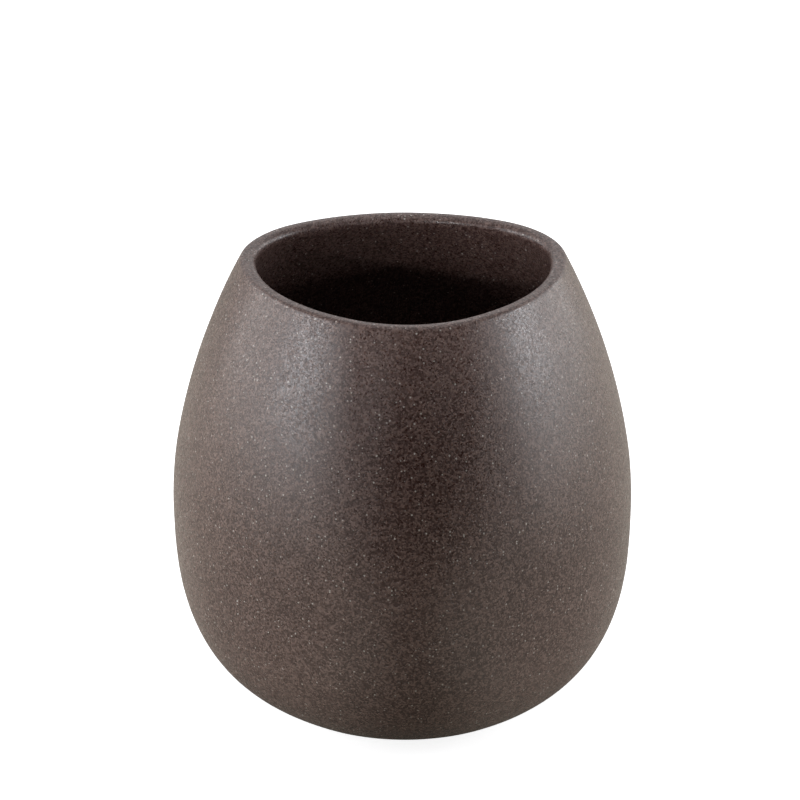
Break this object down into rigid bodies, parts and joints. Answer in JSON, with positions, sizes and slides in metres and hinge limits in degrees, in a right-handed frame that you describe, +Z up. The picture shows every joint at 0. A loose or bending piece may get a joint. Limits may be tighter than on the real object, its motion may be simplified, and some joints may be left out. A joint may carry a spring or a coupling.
{
  "type": "bathroom tumbler",
  "caption": "Egg-shaped bathroom tumbler of cast stone resin with a soft three-cornered plan, a rounded lip and a foam pad under its foot, for toothbrushes or rinsing.",
  "frame": {"origin": "on the cup's axis, on the surface that the foam pad rests on", "axes": "+Z up along the cup's axis, -Y towards the front corner of the three-cornered plan, +X to the right when that corner faces the viewer"},
  "size_m": [0.1002, 0.1002, 0.0978],
  "materials": {
    "cast_stone": "satin",
    "foam": "matte",
    "adhesive": "satin"
  },
  "bodies": {
    "root": {"cast_cup": "cast_stone", "base_pad": "foam", "pad_adhesive": "adhesive"}
  },
  "joints": []
}
